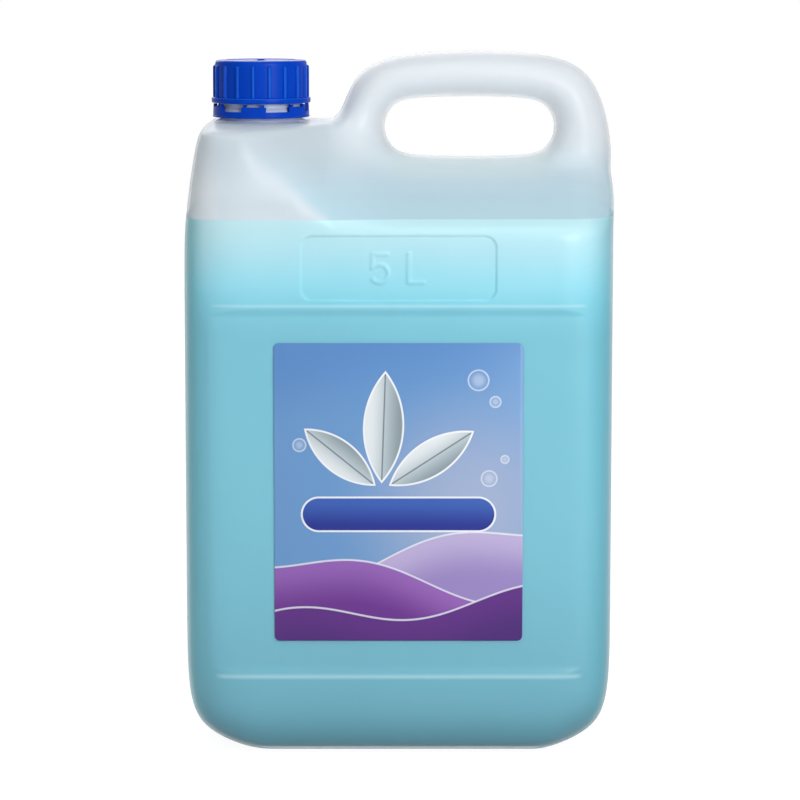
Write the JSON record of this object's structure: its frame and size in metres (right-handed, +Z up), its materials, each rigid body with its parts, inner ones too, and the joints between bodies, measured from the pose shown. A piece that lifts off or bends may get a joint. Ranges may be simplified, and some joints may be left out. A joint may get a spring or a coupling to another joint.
{
  "type": "hand soap refill pack",
  "caption": "Upright see-through refill can of hand wash with a moulded carrying handle, a ribbed screw cap with a tamper band, and a recessed front label.",
  "frame": {"origin": "the middle of the can's footprint, on the surface that it stands on", "axes": "+Z up through the can, +X to the right seen from the label, which faces -Y"},
  "size_m": [0.1819, 0.134, 0.2941],
  "materials": {
    "milky_polyethylene": "natural blow-moulded polyethylene, milky and see-through, satin",
    "liquid_soap": "blue-green pearly liquid soap",
    "label_film": "printed film label in blue, purple and silver",
    "cap_blue": "moulded polypropylene, deep blue, semi-gloss",
    "band_blue": "moulded polypropylene, deep blue, semi-gloss",
    "foam_wad": "white expanded foam disc"
  },
  "bodies": {
    "can": {"bottle": "milky_polyethylene", "hand_wash": "liquid_soap", "front_label": "label_film", "tamper_band": "band_blue"},
    "wad": {"cap_liner": "foam_wad"},
    "cap": {"screw_cap": "cap_blue"}
  },
  "joints": [
    {"name": "cap_lift", "type": "slide", "parent": "can", "child": "wad", "axis": [0, 0, 1], "range_m": [0, 0.018]},
    {"name": "cap_turn", "type": "hinge", "parent": "wad", "child": "cap", "pos_m": [-0.0587, 0, 0.288], "axis": [0, 0, 1], "range_deg": [0, 1619]}
  ],
  "couplings": [
    {"joint": "cap_lift", "follows": "cap_turn", "m_per_rad": 0.00063662}
  ]
}
